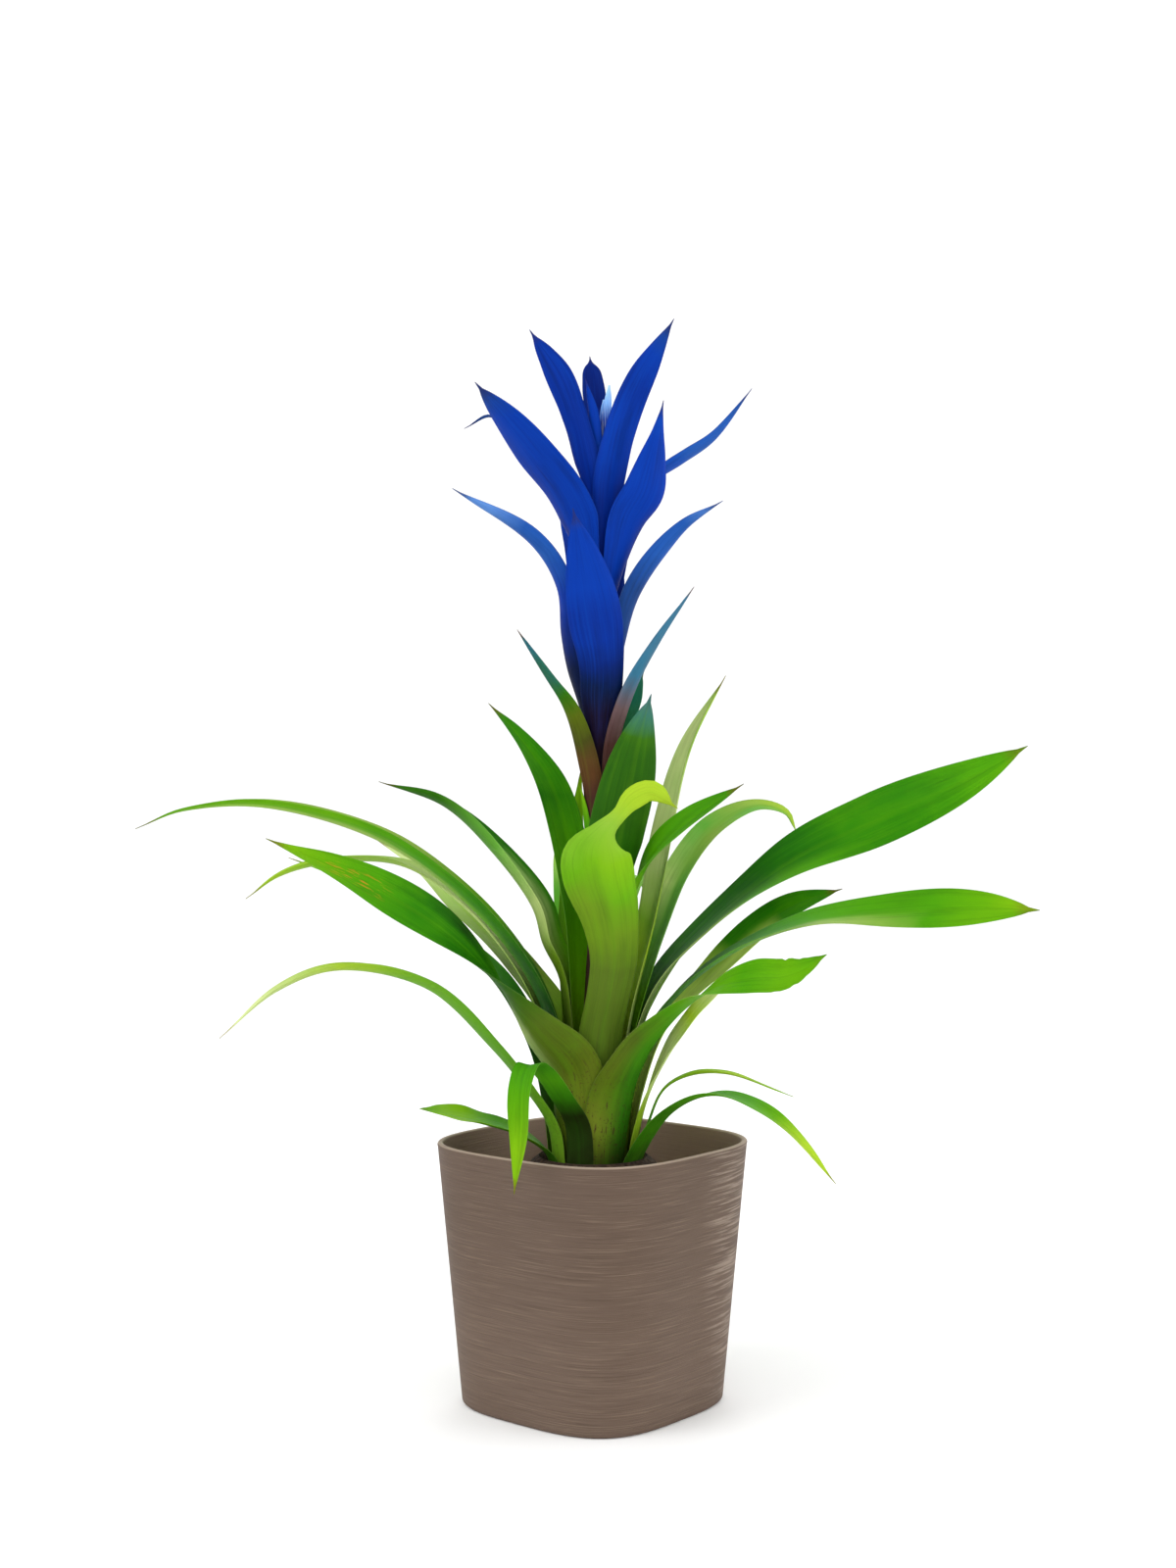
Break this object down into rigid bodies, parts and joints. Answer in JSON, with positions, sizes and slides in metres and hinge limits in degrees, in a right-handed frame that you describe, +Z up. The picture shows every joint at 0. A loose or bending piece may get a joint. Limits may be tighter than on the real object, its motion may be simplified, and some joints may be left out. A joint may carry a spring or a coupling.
{
  "type": "potted guzmania",
  "caption": "Flowering guzmania bromeliad with arching strap leaves and an upright blue bract head, standing in a taupe rounded-square planter",
  "frame": {"origin": "the middle of the planter's flat foot, on the surface that it stands on", "axes": "+Z up, along the plant; X and Y square to the planter's flat sides, with -Y towards its front"},
  "size_m": [0.379, 0.3256, 0.5223],
  "materials": {
    "planter": "taupe, satin, with fine level brush marks",
    "nursery": "thin dark moulded plastic, satin",
    "mix": "rough, crumbly bark and peat mix",
    "leaf": "living green leaf, satin, finely veined lengthwise, paler at the sheath",
    "stalk": "living stalk, purple-brown, satin",
    "stem_bract": "living bract, green turning to blue-teal at its tip, satin",
    "bract": "living bract tinted deep royal blue, satin, darker at its foot",
    "floret": "pale blue bud, soft satin"
  },
  "bodies": {
    "root": {"planter": "planter", "nursery_pot": "nursery", "potting_mix": "mix", "flower_stem": "stalk", "leaf_01": "leaf", "leaf_02": "leaf", "leaf_03": "leaf", "leaf_04": "leaf", "leaf_05": "leaf", "leaf_06": "leaf", "leaf_07": "leaf", "leaf_08": "leaf", "leaf_09": "leaf", "leaf_10": "leaf", "leaf_11": "leaf", "leaf_12": "leaf", "leaf_13": "leaf", "leaf_14": "leaf", "leaf_15": "leaf", "leaf_16": "leaf", "leaf_17": "leaf", "leaf_18": "leaf", "leaf_19": "leaf", "leaf_20": "leaf", "leaf_21": "leaf", "leaf_22": "leaf", "leaf_23": "leaf", "leaf_24": "leaf", "leaf_25": "leaf", "leaf_26": "leaf", "leaf_27": "leaf", "leaf_28": "leaf", "stem_bract_1": "stem_bract", "stem_bract_2": "stem_bract", "stem_bract_3": "stem_bract", "stem_bract_4": "stem_bract", "bract_01": "bract", "bract_02": "bract", "bract_03": "bract", "bract_04": "bract", "bract_05": "bract", "bract_06": "bract", "bract_07": "bract", "bract_08": "bract", "bract_09": "bract", "bract_10": "bract", "bract_11": "bract", "bract_12": "bract", "bract_13": "bract", "bract_14": "bract", "bract_15": "bract", "florets": "floret"}
  },
  "joints": []
}
